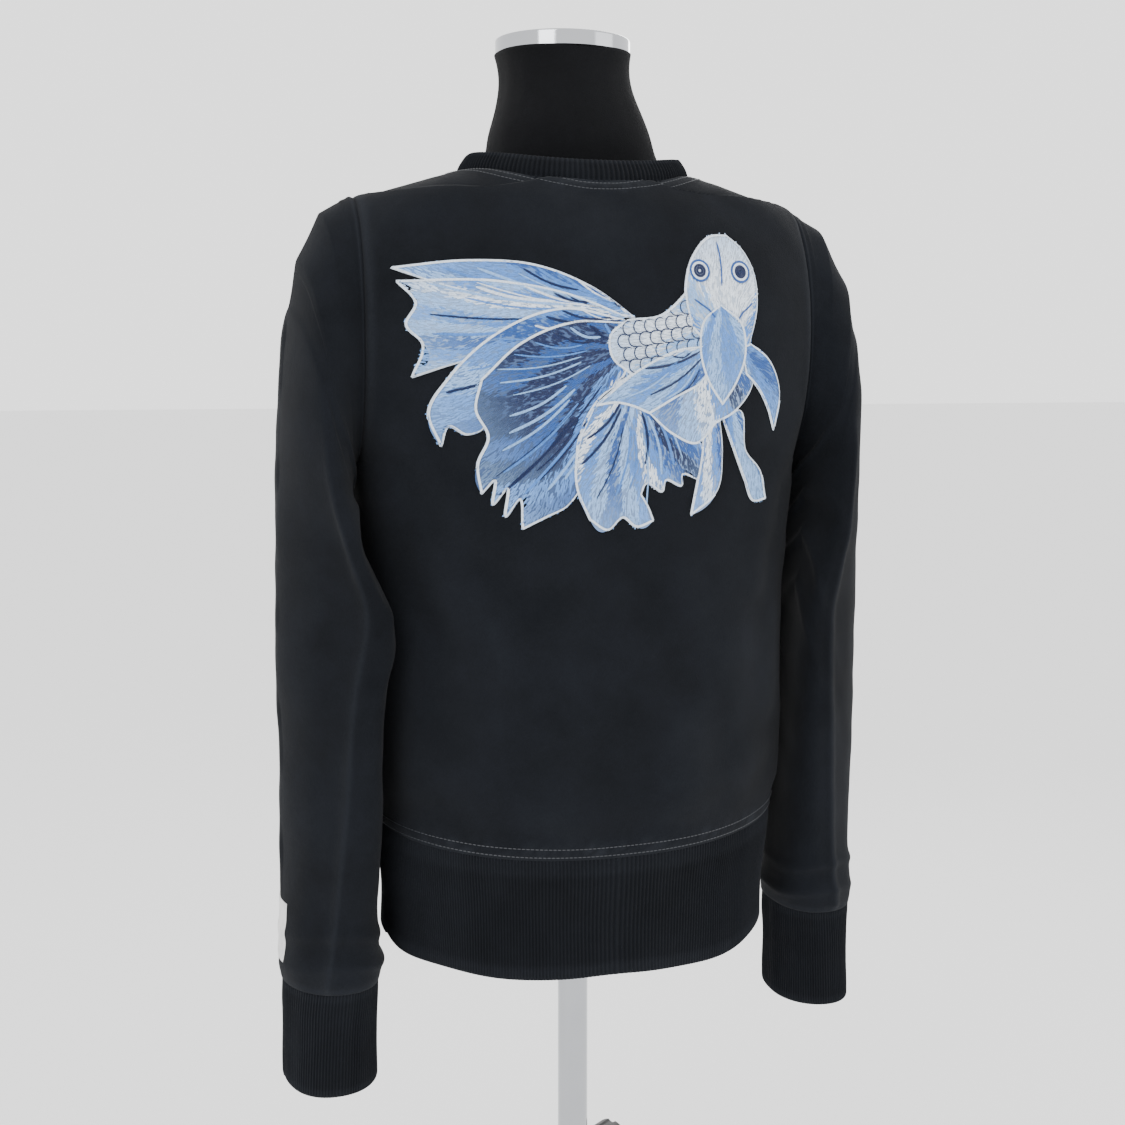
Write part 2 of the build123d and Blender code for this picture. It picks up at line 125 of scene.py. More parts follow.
# ---- colours, linear
SLATE = (0.0048, 0.0056, 0.0075)
# Lighter slate for worn seams, and for painted highlight on the cloth's raised folds.
SLATE_WEAR_AND_HIGHLIGHT = (0.019, 0.0215, 0.027)
WHITE = (0.72, 0.79, 0.87)
ICE = (0.27, 0.46, 0.76)
SKY = (0.085, 0.24, 0.60)
MID = (0.018, 0.085, 0.31)
NAVY = (0.004, 0.014, 0.068)


# ---- small helpers
def smooth_table(rows, height):
    """Values of a table at a height, along a smooth curve through its rows."""
    rows = np.asarray(rows, float)
    keys = rows[:, 0]
    height = np.clip(height, keys[0], keys[-1])
    i = np.clip(np.searchsorted(keys, height, side="right") - 1, 0, len(keys) - 2)
    span = keys[i + 1] - keys[i]
    t = ((height - keys[i]) / span)[..., None]
    slopes = np.gradient(rows[:, 1:], keys, axis=0)
    p0, p1 = rows[i, 1:], rows[i + 1, 1:]
    m0, m1 = slopes[i] * span[..., None], slopes[i + 1] * span[..., None]
    return (
        (2 * t**3 - 3 * t**2 + 1) * p0
        + (t**3 - 2 * t**2 + t) * m0
        + (3 * t**2 - 2 * t**3) * p1
        + (t**3 - t**2) * m1
    )


def oval(turn, power=2.3):
    across, along = np.cos(turn), np.sin(turn)
    return (
        np.sign(across) * np.abs(across) ** (2 / power),
        np.sign(along) * np.abs(along) ** (2 / power),
    )


def wave(x, y, seed, size):
    """Smooth, seeded unevenness from -1 to 1, made of slanting waves of one size."""
    rng = np.random.default_rng(seed)
    total = np.zeros(np.broadcast(x, y).shape)
    for _ in range(7):
        angle = rng.uniform(0, math.tau)
        pitch = size * rng.uniform(0.7, 1.6)
        slanting = x * math.cos(angle) + y * math.sin(angle)
        total += np.sin(slanting * math.tau / pitch + rng.uniform(0, math.tau))
    return total / 3.5


def ridge(distance, width=1.0):
    """A rounded bump, 1 at its middle."""
    return np.exp(-((distance / width) ** 2))


def clamped(x):
    return np.clip(x, 0, 1)


def full_turn(count):
    return np.linspace(0, math.tau, count, endpoint=False)


def wrapped(angle):
    """An angle brought between minus and plus half a turn."""
    return np.angle(np.exp(1j * angle))


def of_length_one(vectors):
    return vectors / np.maximum(np.linalg.norm(vectors, axis=-1, keepdims=True), 1e-9)


def over_hem(points):
    """Heights over the hem, in mm."""
    return (points[..., 2] - HEM_Z) / MM


def mesh_object(name, verts, faces, material, colours=None, smooth=True, wear_and_highlight=None):
    mesh = bpy.data.meshes.new(name)
    mesh.from_pydata(np.asarray(verts, float).tolist(), [], faces)
    mesh.materials.append(material)
    if smooth:
        mesh.polygons.foreach_set("use_smooth", np.ones(len(mesh.polygons), bool))
    if colours is not None:
        layer = mesh.attributes.new("thread_colour", "FLOAT_COLOR", "POINT")
        rgba = np.ones((len(verts), 4), np.float32)
        rgba[:, :3] = colours
        layer.data.foreach_set("color", rgba.ravel())
    if wear_and_highlight is not None:
        layer = mesh.attributes.new("wear_and_highlight", "FLOAT", "POINT")
        layer.data.foreach_set("value", np.asarray(wear_and_highlight, np.float32).ravel())
    mesh.update()
    obj = bpy.data.objects.new(name, mesh)
    bpy.context.scene.collection.objects.link(obj)
    return obj


def grid_faces(rows, cols, closed=True):
    """Faces of a grid of points whose columns go round."""
    r, c = np.meshgrid(np.arange(rows - 1), np.arange(cols if closed else cols - 1), indexing="ij")
    right = (c + 1) % cols
    quads = np.stack([r * cols + c, r * cols + right, (r + 1) * cols + right, (r + 1) * cols + c], -1)
    return quads.reshape(-1, 4).tolist()


def grid_normals(points):
    """Outward normals of a grid of points whose columns go round counter-clockwise."""
    across = np.roll(points, -1, 1) - np.roll(points, 1, 1)
    up = np.gradient(points, axis=0)
    normal = np.cross(across, up)
    return of_length_one(normal)


def tree_of(*names):
    """Ray-casting tree of some CAD nodes, so that cloth is laid where the frame has it."""
    verts, faces = [], []
    for name in names:
        mesh = NODES[name].data
        start = len(verts)
        verts += [v.co[:] for v in mesh.vertices]
        faces += [[start + i for i in p.vertices] for p in mesh.polygons]
    return BVHTree.FromPolygons(verts, faces)


def gap_to_line(points, line):
    """Distance from each point of a grid to the nearest point of a line."""
    return np.stack([np.sqrt(((row[:, None] - line[None]) ** 2).sum(-1).min(1)) for row in points])


def laid_on(points, normals, tree, reach=9 * MM):
    """Points moved onto the CAD surface that they stand just outside of."""
    shape = points.shape
    out = points.reshape(-1, 3).copy()
    lifted = (points + normals * 2 * MM).reshape(-1, 3)
    for i, point in enumerate(lifted):
        at, _, _, gap = tree.find_nearest(Vector(point), reach)
        if at is not None:
            out[i] = at
    return out.reshape(shape)


def smoothed(points, times):
    """A grid of points with its unevenness evened out, its first and last rows only along themselves."""
    for _ in range(times):
        beside = (np.roll(points, 1, 1) + np.roll(points, -1, 1)) / 2
        over = points.copy()
        over[1:-1] = (points[:-2] + points[2:]) / 2
        points = 0.5 * points + 0.25 * beside + 0.25 * over
    return points


# ---- materials
class Shader:
    """A material's node tree, with short names for what is used here."""

    def __init__(self, name):
        self.material = bpy.data.materials.new(name)
        self.material.use_nodes = True
        self.tree = self.material.node_tree
        self.base = self.tree.nodes["Principled BSDF"]
        self.where = self.add("ShaderNodeTexCoord").outputs["Object"]

    def add(self, kind, **values):
        node = self.tree.nodes.new(kind)
        for key, value in values.items():
            if key in node.inputs:
                node.inputs[key].default_value = value
            else:
                setattr(node, key, value)
        return node

    def link(self, source, target):
        self.tree.links.new(source, target)

    def noise(self, scale, detail=3.0, roughness=0.6, stretch=None):
        node = self.add("ShaderNodeTexNoise", Scale=scale, Detail=detail, Roughness=roughness)
        source = self.where
        if stretch:
            mapping = self.add("ShaderNodeMapping", Scale=stretch)
            self.link(self.where, mapping.inputs["Vector"])
            source = mapping.outputs["Vector"]
        self.link(source, node.inputs["Vector"])
        return node.outputs["Fac"]

    def ramp(self, source, stops):
        node = self.add("ShaderNodeValToRGB")
        elements = node.color_ramp.elements
        while len(elements) < len(stops):
            elements.new(0.5)
        for element, (place, colour) in zip(elements, stops):
            element.position = place
            element.color = (*colour, 1)
        self.link(source, node.inputs["Fac"])
        return node.outputs["Color"]

    def maths(self, operation, first, second):
        node = self.add("ShaderNodeMath", operation=operation)
        for socket, value in zip(node.inputs, (first, second)):
            if isinstance(value, (int, float)):
                socket.default_value = value
            else:
                self.link(value, socket)
        return node.outputs["Value"]

    def attribute(self, name, output):
        return self.add("ShaderNodeAttribute", attribute_name=name).outputs[output]

    def mix(self, kind, factor, first, second):
        node = self.add("ShaderNodeMix", data_type="RGBA", blend_type=kind)
        colour_sockets = [s for s in node.inputs if s.type == "RGBA"]
        for socket, value in zip([node.inputs[0], *colour_sockets], (factor, first, second)):
            if isinstance(value, (int, float)):
                socket.default_value = value
            elif isinstance(value, tuple):
                socket.default_value = (*value, 1)
            else:
                self.link(value, socket)
        return [s for s in node.outputs if s.type == "RGBA"][0]

    def bump(self, height, distance, strength=1.0, under=None):
        node = self.add("ShaderNodeBump", Distance=distance, Strength=strength)
        self.link(height, node.inputs["Height"])
        if under is not None:
            self.link(under, node.inputs["Normal"])
        return node.outputs["Normal"]


def shaded(colour, factor):
    return tuple(c * factor for c in colour)


def cloth_material(name, colour, wear_and_highlight_colour, grain=1400.0, sheen=0.025):
    """Garment-dyed knit: blotchy dye, paler where worn at seams and as painted highlight on raised folds,
    with short fuzz over fine loops.
    """
    s = Shader(name)
    blotch = s.noise(9.0, 5.0, 0.65)
    fleck = s.noise(grain, 2.0, 0.7)
    dye = s.ramp(blotch, [(0.34, shaded(colour, 0.72)), (0.68, shaded(colour, 1.5))])
    flecked = s.mix("MULTIPLY", 1.0, dye, s.ramp(fleck, [(0.3, (0.7,) * 3), (0.72, (1.25,) * 3)]))
    # Mixed toward the lighter colour by the vertex attribute: worn seams, and painted highlight on raised
    # folds.
    wear_and_highlight = s.maths("MULTIPLY", s.attribute("wear_and_highlight", "Fac"), s.maths("ADD", s.noise(420.0, 3.0), 0.35))
    s.link(s.mix("MIX", wear_and_highlight, flecked, wear_and_highlight_colour), s.base.inputs["Base Color"])
    s.base.inputs["Roughness"].default_value = 0.96
    s.base.inputs["Specular IOR Level"].default_value = 0.06
    s.base.inputs["Sheen Weight"].default_value = sheen
    s.base.inputs["Sheen Roughness"].default_value = 0.55
    loops = s.noise(grain, 2.0, 0.5, (1.0, 1.0, 0.55))
    fuzz = s.noise(2600.0, 2.0, 0.8)
    soft = s.bump(s.noise(60.0, 4.0), 0.0012, 0.35)
    knit = s.bump(loops, 0.0006, 0.55, soft)
    s.link(s.bump(fuzz, 0.0003, 0.5, knit), s.base.inputs["Normal"])
    return s.material


def thread_material(name, colour=None, sheen=0.03):
    """Rayon embroidery thread, in the mesh's own colours unless one is given."""
    s = Shader(name)
    strand = s.noise(1500.0, 2.0, 0.6)
    base = colour if colour else s.attribute("thread_colour", "Color")
    shade = s.ramp(strand, [(0.3, (0.78,) * 3), (0.7, (1.1,) * 3)])
    s.link(s.mix("MULTIPLY", 1.0, base, shade), s.base.inputs["Base Color"])
    s.base.inputs["Roughness"].default_value = 0.42
    s.base.inputs["Sheen Weight"].default_value = sheen
    s.link(s.bump(s.noise(3200.0, 2.0), 0.00025, 0.6), s.base.inputs["Normal"])
    return s.material


def chrome_material(name, colour=(0.40, 0.41, 0.43), rough=0.04):
    """Polished chrome with faint smears and hairline scratches along it."""
    s = Shader(name)
    smear = s.noise(14.0, 4.0)
    hair = s.noise(90.0, 3.0, 0.7, (30.0, 30.0, 1.0))
    s.base.inputs["Metallic"].default_value = 1.0
    s.link(s.ramp(smear, [(0.3, shaded(colour, 0.93)), (0.7, colour)]), s.base.inputs["Base Color"])
    s.link(s.maths("ADD", s.maths("MULTIPLY", smear, 0.07), rough), s.base.inputs["Roughness"])
    s.link(s.bump(hair, 0.00004, 0.35), s.base.inputs["Normal"])
    return s.material


def plain_material(name, colour, rough, metallic=0.0, grain=300.0, depth=0.0003):
    """Moulded, cast, painted or sawn surface with a fine uneven grain."""
    s = Shader(name)
    speck = s.noise(grain, 4.0, 0.7)
    tone = s.ramp(speck, [(0.3, shaded(colour, 0.8)), (0.7, shaded(colour, 1.15))])
    s.link(tone, s.base.inputs["Base Color"])
    s.base.inputs["Metallic"].default_value = metallic
    s.link(s.maths("ADD", s.maths("MULTIPLY", s.noise(40.0), 0.2), rough - 0.1), s.base.inputs["Roughness"])
    s.link(s.bump(speck, depth, 0.5), s.base.inputs["Normal"])
    return s.material


FLEECE = cloth_material("washed_fleece", SLATE, SLATE_WEAR_AND_HIGHLIGHT)
RIB = cloth_material("washed_rib", shaded(SLATE, 0.82), SLATE_WEAR_AND_HIGHLIGHT, 1700.0)
JERSEY = cloth_material("form_jersey_black", (0.0035, 0.0036, 0.0042), (0.02, 0.022, 0.026), 2200.0, 0.03)
SEAM_THREAD = thread_material("seam_thread", (0.022, 0.025, 0.031))
THREAD = thread_material("embroidery_thread")
CHROME = chrome_material("polished_chrome")
LABEL = cloth_material("woven_label_white", (0.72, 0.72, 0.71), (0.8, 0.8, 0.8), 1900.0)

CAD_LOOKS = {
    CHROME: ["neck_cap", "upper_tube", "lower_tube", "clamp_collar", "base_cover", "foot_ring"],
    plain_material("zinc_steel", (0.5, 0.5, 0.52), 0.35, 1.0): [
        "base_bolt", "tube_plug", "clamp_screw", "socket_screws", "lock_screw", "lock_wing", "neck_cap_pin",
    ],
    plain_material("black_nylon", (0.02, 0.02, 0.021), 0.5): ["guide_bush", "clamp_knob", "tube_end_cap"],
    plain_material("rubber_pad", (0.02, 0.02, 0.02), 0.85, 0.0, 500.0): ["base_pad"],
    plain_material("cast_iron_weight", (0.07, 0.07, 0.072), 0.6, 0.6, 200.0, 0.0008): ["base_weight"],
    plain_material("black_paint", (0.015, 0.015, 0.016), 0.38): ["form_socket"],
    plain_material("birch_board", (0.42, 0.28, 0.15), 0.6, 0.0, 120.0): ["bottom_board", "neck_plug"],
    plain_material("moulded_shell", (0.5, 0.47, 0.42), 0.7): ["form_shell"],
    cloth_material("neck_tape_cloth", (0.03, 0.033, 0.04), SLATE_WEAR_AND_HIGHLIGHT, 2000.0): ["neck_tape"],
    LABEL: ["neck_label"],
}


# ---- sweatshirt body
BODY_COLS = 330
BODY_ROWS = 190  # from the hem's seam to the shoulders
SHOULDER_ROWS = 44  # from there over the shoulders to the collar
BODY_TOP = 595  # height of the last body row at the back
FRONT_DROP = 58  # how much lower it is at the front
HEM_RIBS = 384
COLLAR_RIBS = 150
HEM_SEAM = (95.0, 13.0)  # height of the hem's seam at the middle of the back, and its rise at the sides
HEM_EDGE_RISE = 15.0  # how far the hem's edge draws up at the sides


def hem_seam_height(turn):
    return HEM_SEAM[0] + HEM_SEAM[1] * np.cos(turn) ** 2


def body_points(turn, height, grow=0.0):
    """Points of the body's rings, in metres, for turns and heights over the hem in mm."""
    half_width, back, front = np.moveaxis(smooth_table(BODY_RINGS, height), -1, 0)
    across, along = oval(turn)
    x = across * (half_width + grow)
    y = along * (np.where(along > 0, front, back) + grow)
    limit = ARMHOLE_X / MM
    x = np.where(height > 385, np.clip(x, -limit, limit), x)
    return np.stack([x * MM, y * MM, HEM_Z + height * MM], -1)


def neck_points(turn, rise=0.0, grow=0.0):
    """Points of the collar, a rise over its seam."""
    height = np.full_like(turn, 612.0)
    across, along = oval(turn, 2.0)
    for _ in range(6):
        half_width, back, front = np.moveaxis(smooth_table(NECK_RINGS, height + rise), -1, 0)
        y = along * (np.where(along > 0, front, back) + grow)
        height = smooth_table(COLLAR_SEAM, y)[..., 0]
    x = across * (half_width + grow)
    return np.stack([x * MM, y * MM, HEM_Z + (height + rise) * MM], -1)


def fold(x, z, points, width, depth):
    """A soft ridge along a path, given as x and height over the hem in mm."""
    best = np.full(x.shape, 1e9)
    for (ax, az), (bx, bz) in zip(points, points[1:]):
        dx, dz = bx - ax, bz - az
        t = clamped(((x - ax) * dx + (z - az) * dz) / (dx * dx + dz * dz))
        gap = np.hypot(x - ax - t * dx, z - az - t * dz)
        best = np.minimum(best, gap)
    return depth * ridge(best, width)


# Folds of the back: path as x and height over the hem, width and depth, all in mm.
BACK_FOLDS = [
    ([(-165, 420), (-120, 352), (-70, 318)], 13, 3.2),
    ([(-168, 372), (-130, 318), (-96, 250)], 15, 3.6),
    ([(-172, 330), (-152, 240), (-146, 150)], 13, 3.0),
    ([(166, 430), (140, 372), (122, 300)], 12, 3.0),
    ([(170, 372), (150, 300), (138, 200)], 14, 3.4),
    ([(172, 320), (160, 220), (158, 130)], 12, 2.6),
    ([(-40, 330), (-52, 220), (-44, 120)], 24, 2.2),
    ([(40, 335), (60, 230), (50, 125)], 26, 2.2),
    ([(104, 250), (112, 170), (104, 110)], 17, 2.0),
    ([(-100, 230), (-108, 160), (-98, 108)], 16, 2.2),
    ([(-178, 560), (-150, 582), (-112, 606)], 12, 1.6),
    ([(178, 560), (150, 584), (112, 608)], 12, 1.6),
    ([(-120, 150), (-40, 128), (60, 140), (130, 158)], 14, 1.6),
]


def make_body():
    turn = full_turn(BODY_COLS)
    top = BODY_TOP - FRONT_DROP * ridge((turn - math.pi / 2) / 0.75)
    seam = hem_seam_height(turn)
    rows = np.linspace(0, 1, BODY_ROWS)[:, None]
    height = seam + (top - seam) * rows
    lower = body_points(np.broadcast_to(turn, height.shape), height)
    neck = neck_points(turn)
    steps = np.linspace(0, 1, SHOULDER_ROWS)[1:, None, None]
    shoulder = lower[-1] + (neck - lower[-1]) * steps
    points = np.concatenate([lower, shoulder])
    normals = grid_normals(points)
    tree = tree_of("back_panel", "front_panel")
    upright = np.zeros_like(normals)
    upright[..., 2] = 1.0
    over = clamped((points[..., 2:] - HEM_Z - 560 * MM) / (30 * MM))
    outward = normals * (1 - over) + upright * over
    held = points[..., 2] > HEM_Z + 106 * MM
    laid = laid_on(points, outward, tree)
    points = np.where(held[..., None], laid, points)
    points[:BODY_ROWS] = smoothed(points[:BODY_ROWS], 3)
    normals = grid_normals(points)

    x, y = points[..., 0] / MM, points[..., 1] / MM
    h = over_hem(points)
    behind = clamped(-y / 50)
    ahead = clamped(y / 50)
    push = np.zeros(h.shape)
    for path, width, depth in BACK_FOLDS:
        push += behind * fold(x, h, path, width, depth)
        push += ahead * fold(-x, h, path, width * 1.1, depth)
    calm = behind * ridge(x / 165)
    calm = 1 - calm * clamped((h - 330) / 25) * clamped((600 - h) / 20)
    around = np.arctan2(y, x) * 150
    push += calm * (1.3 * wave(around, h, 3, 130) + 0.5 * wave(around, h, 4, 48))
    push += 5.0 * ridge((h - 352) / 42) * clamped((np.abs(x) - 150) / 22)
    clear_of_armhole = clamped((182.5 - np.abs(x)) / 14) ** np.where(h > 395, 1, 0)
    push *= clamped((h - seam - 4) / 24) * clear_of_armhole
    to_neck = gap_to_line(points, neck) / MM
    push *= clamped(to_neck / 22)
    seam_band = ridge((h - seam - 7.5) / 6.5)
    push += 0.9 * seam_band - 1.0 * ridge((h - seam) / 1.6)
    collar_band = ridge((to_neck - 6.5) / 5.0)
    push += 0.8 * collar_band - 1.0 * ridge(to_neck / 1.6)
    armhole = np.where(h > 392, 182 - np.abs(x), 60.0)
    push += 0.7 * ridge((armhole - 6) / 5.0) - 0.8 * ridge(armhole / 1.5)
    points = points + normals * push[..., None] * MM

    # Paler on raised folds as painted highlight; paler along the hem's seam, the collar and the armhole
    # from wear.
    wear_and_highlight = 0.06 + 0.10 * clamped(push / 3) + 0.42 * seam_band * np.abs(wave(around, h, 9, 16))
    wear_and_highlight += 0.35 * ridge((h - seam - 1.5) / 1.8) + 0.35 * ridge((to_neck - 2) / 2.0)
    wear_and_highlight += 0.3 * collar_band * np.abs(wave(around, h, 10, 14)) + 0.35 * ridge((armhole - 4) / 3.5)
    inner = (points - normals * CLOTH)[::-1][::4]
    both = np.concatenate([points, inner])
    body = mesh_object(
        "sweatshirt_body",
        both.reshape(-1, 3),
        grid_faces(len(both), BODY_COLS),
        FLEECE,
        wear_and_highlight=np.concatenate([wear_and_highlight, np.zeros(inner.shape[:2])]).ravel(),
    )
    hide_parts("back_panel", "front_panel")
    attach(body, "form")
    return points, normals


def ribbed_band(name, outer, normals, ribs, depth, thick, material, nodes, body=None):
    """Doubled rib knit: an outer grid with upright ribs, a rolled edge on row 0, and an inner wall."""
    rows, cols = outer.shape[:2]
    phase = np.arange(cols) / cols * ribs * math.tau
    height = np.cos(phase)
    height = np.sign(height) * np.abs(height) ** 0.7
    jitter = 1 + 0.25 * np.interp(np.arange(cols), np.linspace(0, cols, 60), RNG.uniform(-1, 1, 60))
    push = depth * height * jitter
    rib = outer + normals * push[None, :, None]
    down = of_length_one(outer[0] - outer[1])
    roll = []
    for part in np.linspace(0, math.pi, 7)[1:-1]:
        edge = outer[0] - normals[0] * (thick / 2) * (1 - math.cos(part))
        edge = edge + down * (thick / 2) * math.sin(part)
        roll.append(edge + normals[0] * (push * math.cos(part))[:, None])
    inner = outer - normals * (thick + push[None, :, None] * 0.5)
    points = np.concatenate([rib[::-1], np.array(roll), inner])
    # The raised ribs are drawn lighter; the rolled edge and the seam end are paler from wear.
    rib_crest_tone = 0.16 * clamped(height)
    wear_and_highlight = np.broadcast_to(rib_crest_tone, points.shape[:2]).copy()
    wear_and_highlight[rows - 2 : rows + 6] += 0.22
    wear_and_highlight[:3] += 0.15
    flip = [face[::-1] for face in grid_faces(len(points), cols)]
    band = mesh_object(name, points.reshape(-1, 3), flip, material, wear_and_highlight=wear_and_highlight.ravel())
    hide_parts(*nodes)
    if body:
        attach(band, body)
    return band


def make_hem():
    cols = HEM_RIBS * 5
    turn = full_turn(cols)
    seam = hem_seam_height(turn)
    edge = HEM_EDGE_RISE * np.cos(turn) ** 2 + 2.2 * np.sin(3 * turn + 0.6) + 1.2 * np.sin(7 * turn)
    rows = np.linspace(0, 1, 18)[:, None]
    height = edge + (seam + 1 - edge) * rows
    points = body_points(np.broadcast_to(turn, height.shape), height)
    normals = grid_normals(points)
    x, y = points[..., 0] / MM, points[..., 1] / MM
    around = np.arctan2(y, x) * 150
    sag = 1.4 * wave(around, height, 21, 90) * clamped((seam - height) / 30)
    tuck_in = -1.4 * ridge((height - seam) / 5)
    points = points + normals * ((sag + tuck_in) * MM)[..., None]
    ribbed_band(
        "hem_ribbing", points, normals, HEM_RIBS, 0.42 * MM, RIB_CLOTH, RIB, ["hem_rib"], "form"
    )


def make_collar():
    cols = COLLAR_RIBS * 6
    turn = full_turn(cols)
    rows = []
    for step in np.linspace(1, 0, 14):
        bow = 1.5 * math.sin(math.pi * step)
        rows.append(neck_points(turn, COLLAR_BAND / MM * step, bow - 0.2))
    outer = np.array(rows)
    normals = -grid_normals(outer)
    ribbed_band(
        "collar_ribbing", outer, normals, COLLAR_RIBS, 0.55 * MM, RIB_CLOTH, RIB,
        ["collar_rib"], "form",
    )


# ---- sleeves
CUFF_RIBS = 104
CUFF_ROWS = 30
# By side: lean over the back, extra fullness at the cuff and how far it is pushed up the arm, all in mm.
SLEEVE_HANG = {-1: (24, 5.0, 0.0), 1: (7, 1.0, 22.0)}
# Soft folds that slant from the armhole: place, slant and depth. Folds round the cuff: place and depth.
DRAG_FOLDS = [(1.3, 0.9, 2.6), (2.4, 1.2, 3.0), (3.4, 1.3, 2.6), (4.4, 1.0, 1.8)]
CUFF_FOLDS = [(7.35, 2.2), (7.7, 2.6)]
CREASE_TURN = {-1: math.tau * 0.80, 1: math.tau * 0.78}  # the pressed crease, by side


def sleeve_table(place):
    """Inner crease, outer crease, half depth, set-back and tuck at places between the sections."""
    flat = [(i, *inner, *outer, *rest) for i, (inner, outer, *rest) in enumerate(SLEEVE_SECTIONS)]
    return np.moveaxis(smooth_table(flat, place), -1, 0)


def sleeve_points(place, turn, side, grow=0.0):
    ix, ih, ox, oh, depth, back, tuck = sleeve_table(place)
    reach_x, reach_h = (ox - ix) / 2, (oh - ih) / 2
    mid_h = (ih + oh) / 2
    lean, full_cuff, pushed_up = SLEEVE_HANG[side]
    drape = ridge((mid_h - 335) / 78) * lean
    tuck = tuck + drape
    depth = depth + drape * 0.35
    low_down = clamped((170 - mid_h) / 200)
    grow = grow + full_cuff * low_down
    rise = pushed_up * clamped((260 - mid_h) / 260)
    length = np.hypot(reach_x, reach_h)
    across, along = oval(turn, 2.15)
    out = across * (length + grow) - tuck * np.maximum(0, -along) ** 1.5
    x = (ix + ox) / 2 + reach_x / length * out
    h = mid_h + rise + reach_h / length * out
    y = back + along * (depth + grow)
    return np.stack([side * x * MM, y * MM, HEM_Z + h * MM], -1)


def make_sleeve(name, side):
    cols, count = 200, 250
    turn = full_turn(cols)
    place = np.linspace(0.0, CUFF_FROM, count)[:, None]
    at = np.broadcast_to(place, (count, cols))
    points = sleeve_points(at, np.broadcast_to(turn, at.shape), side)
    sign = -side
    normals = grid_normals(points) * sign
    tree = tree_of(f"{name}_sleeve")
    laid = laid_on(points, normals, tree)
    points = np.where((at > 0.35)[..., None] & (at < 2.5)[..., None], laid, points)
    points = smoothed(points, 4)
    points[0] = sleeve_points(at[0], turn, side, -1.5) - np.array([side * 2.5 * MM, 0, 0])
    normals = grid_normals(points) * sign
    x, y = points[..., 0] / MM * side, points[..., 1] / MM
    h = over_hem(points)
    round_mm = turn[None, :] * 46
    push = 1.2 * wave(round_mm, h, 31 + side, 110) + 0.5 * wave(round_mm, h, 35 + side, 42)
    from_crease = wrapped(turn - CREASE_TURN[side])[None, :] * 50
    push += 2.4 * ridge(from_crease / 5.5) * clamped((at - 2.6) / 1.2)
    push -= 1.4 * ridge((from_crease - 17) / 12) * clamped((at - 2.6) / 1.2)
    inner_turn = wrapped(turn - math.pi * 1.15)[None, :]
    for start, slant, depth in DRAG_FOLDS:
        line = at - start - slant * np.abs(inner_turn)
        push += depth * ridge(line / 0.16) * ridge(inner_turn / 1.1)
    for start, depth in CUFF_FOLDS:
        push += depth * ridge((at - start - 0.06 * np.sin(turn * 2 + start)) / 0.07) * (
            0.55 + 0.45 * np.sin(turn + start * 3)
        )
    push *= clamped(at / 0.5) * clamped((CUFF_FROM - at) / 0.12)
    cap_seam = ridge((at - 0.06) / 0.05)
    push += 0.5 * cap_seam
    blouse = ridge((at - CUFF_FROM + 0.22) / 0.22)
    push += 2.2 * blouse
    points = points + normals * push[..., None] * MM
    # Paler on raised folds and along the pressed crease as painted highlight; paler at the cap's seam and
    # next to the cuff from wear.
    wear_and_highlight = 0.05 + 0.12 * clamped(push / 4) + 0.3 * cap_seam
    wear_and_highlight += 0.25 * ridge(from_crease / 2.2) * clamped((at - 2.6) / 1.2)
    wear_and_highlight += 0.3 * ridge((at - CUFF_FROM + 0.04) / 0.05)
    inner = points - normals * CLOTH
    # A short cap next to the armhole stays where it is; the rest rides on the arm.
    reach = np.abs(points[..., 0]).min(axis=1)
    split = int(np.argmax(np.where(place[:, 0] < 2.2, reach, 0)))
    for part, first, last in (("cap", 0, split + 1), ("cloth", split, count)):
        both = np.concatenate([points[first:last], inner[first:last][::-1]])
        faces = grid_faces(len(both), cols)
        if side < 0:
            faces = [face[::-1] for face in faces]
        sleeve_wear_and_highlight = np.concatenate([wear_and_highlight[first:last], wear_and_highlight[first:last][::-1] * 0])
        sleeve = mesh_object(
            f"{name}_sleeve_{part}", both.reshape(-1, 3), faces, FLEECE, wear_and_highlight=sleeve_wear_and_highlight.ravel()
        )
        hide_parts(f"{name}_sleeve")
        if part == "cap":
            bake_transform(sleeve)
        else:
            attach(sleeve, f"{name}_arm")
    make_cuff(name, side)
    return points


def make_cuff(name, side):
    cuff_cols = CUFF_RIBS * 6
    cuff_turn = full_turn(cuff_cols)
    if side > 0:
        cuff_turn = cuff_turn[::-1]
    cuff_place = np.linspace(len(SLEEVE_SECTIONS) - 1, CUFF_FROM - 0.03, CUFF_ROWS)[:, None]
    cuff_at = np.broadcast_to(cuff_place, (CUFF_ROWS, cuff_cols))
    outer = sleeve_points(cuff_at, np.broadcast_to(cuff_turn, cuff_at.shape), side, -0.6)
    outward = grid_normals(outer)
    middle = outer.mean(axis=(0, 1))
    if np.sum(outward[0] * (outer[0] - middle)) < 0:
        outward = -outward
    puff = 1.6 * np.sin(np.pi * np.linspace(0, 1, CUFF_ROWS))[:, None]
    puff = puff + 0.8 * wave(cuff_turn * 40, cuff_at * 40, 51 + side, 60)
    outer = outer + outward * (puff * MM)[..., None]
    band = ribbed_band(
        f"{name}_cuff_ribbing", outer, outward, CUFF_RIBS, 0.42 * MM, RIB_CLOTH, RIB,
        [f"{name}_cuff"],
    )
    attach(band, f"{name}_arm")


# ---- torso form
NECK_FROM = 1220  # height over the floor at which the neck starts
NECK_LEAN = -9.0  # how far the top of the neck leans to the left


